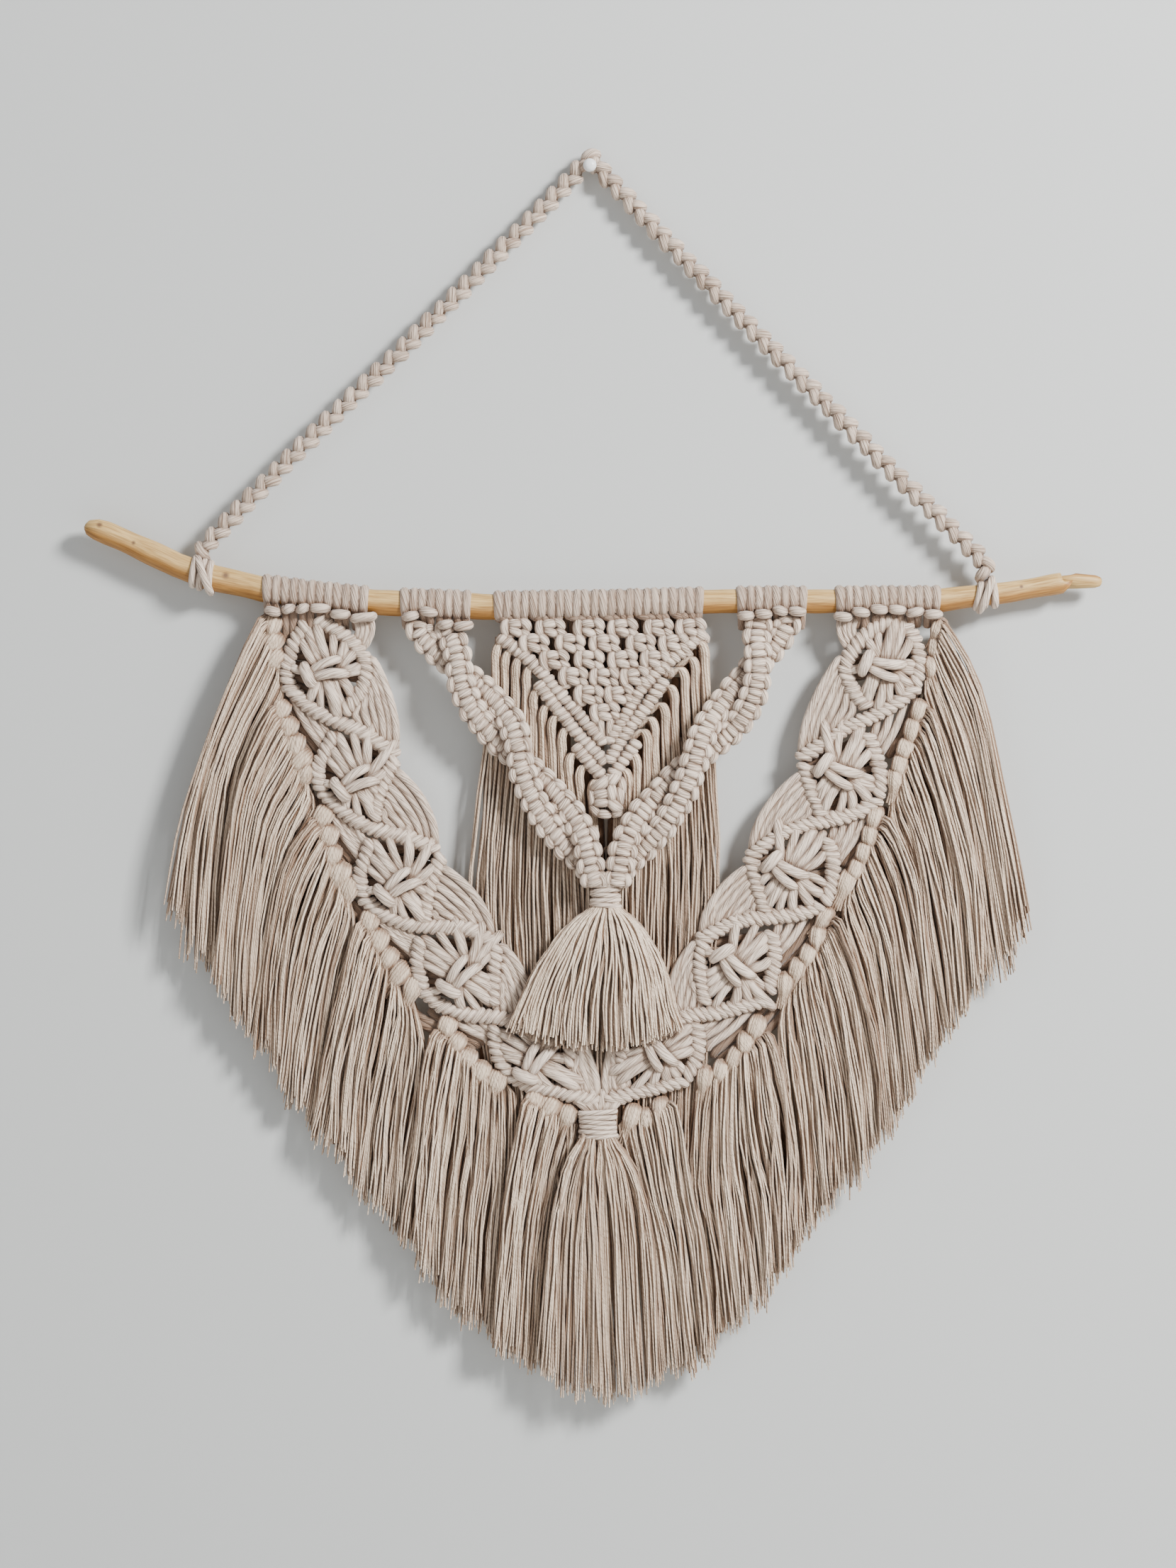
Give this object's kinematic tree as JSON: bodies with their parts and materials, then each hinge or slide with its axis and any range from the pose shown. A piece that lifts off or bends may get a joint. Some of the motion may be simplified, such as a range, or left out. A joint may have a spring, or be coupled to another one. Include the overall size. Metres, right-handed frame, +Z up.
{
  "type": "macrame wall hanging",
  "caption": "Knotted cotton wall hanging on a peeled branch: a V-shaped panel between twisted bands, a swag of star knots and long combed fringe, hung by a knotted cord from a pin.",
  "frame": {"origin": "on the wall pin's axis where it enters the wall, so that the wall's face is the plane Y = 0", "axes": "+X to the right seen from the front, +Y into the wall, +Z up; the front faces -Y"},
  "size_m": [0.572, 0.0394, 0.7031],
  "materials": {
    "peeled_wood": "peeled, pale on top and golden underneath, satin",
    "pin": "off-white moulded head on a steel point",
    "cotton_cord": "matt natural single-strand cotton cord, knotted",
    "combed_cotton": "matt natural cotton, combed out to its yarns"
  },
  "bodies": {
    "root": {"branch": "peeled_wood", "push_pin": "pin", "garland_mount_left": "cotton_cord", "garland_mount_right": "cotton_cord", "band_mount_left": "cotton_cord", "band_mount_right": "cotton_cord", "panel_mount": "cotton_cord", "hanger_tie_left": "cotton_cord", "hanger_tie_right": "cotton_cord", "hanger_cord": "cotton_cord", "centre_panel": "cotton_cord", "v_row_1": "cotton_cord", "v_row_2": "cotton_cord", "v_row_3": "cotton_cord", "berry_knot": "cotton_cord", "band_left_outer": "cotton_cord", "band_left_inner": "cotton_cord", "band_right_outer": "cotton_cord", "band_right_inner": "cotton_cord", "band_gather": "cotton_cord", "bottom_gather": "cotton_cord", "star_motif_left_1": "cotton_cord", "star_motif_left_2": "cotton_cord", "star_motif_left_3": "cotton_cord", "star_motif_left_4": "cotton_cord", "star_motif_left_5": "cotton_cord", "star_motif_right_1": "cotton_cord", "star_motif_right_2": "cotton_cord", "star_motif_right_3": "cotton_cord", "star_motif_right_4": "cotton_cord", "star_motif_right_5": "cotton_cord", "centre_fringe_left": "combed_cotton", "centre_fringe_right": "combed_cotton", "band_tassel": "combed_cotton", "bottom_tassel": "combed_cotton", "fringe_left_1": "combed_cotton", "fringe_left_2": "combed_cotton", "fringe_left_3": "combed_cotton", "fringe_left_4": "combed_cotton", "fringe_left_5": "combed_cotton", "fringe_left_6": "combed_cotton", "fringe_right_1": "combed_cotton", "fringe_right_2": "combed_cotton", "fringe_right_3": "combed_cotton", "fringe_right_4": "combed_cotton", "fringe_right_5": "combed_cotton", "fringe_right_6": "combed_cotton"}
  },
  "joints": []
}
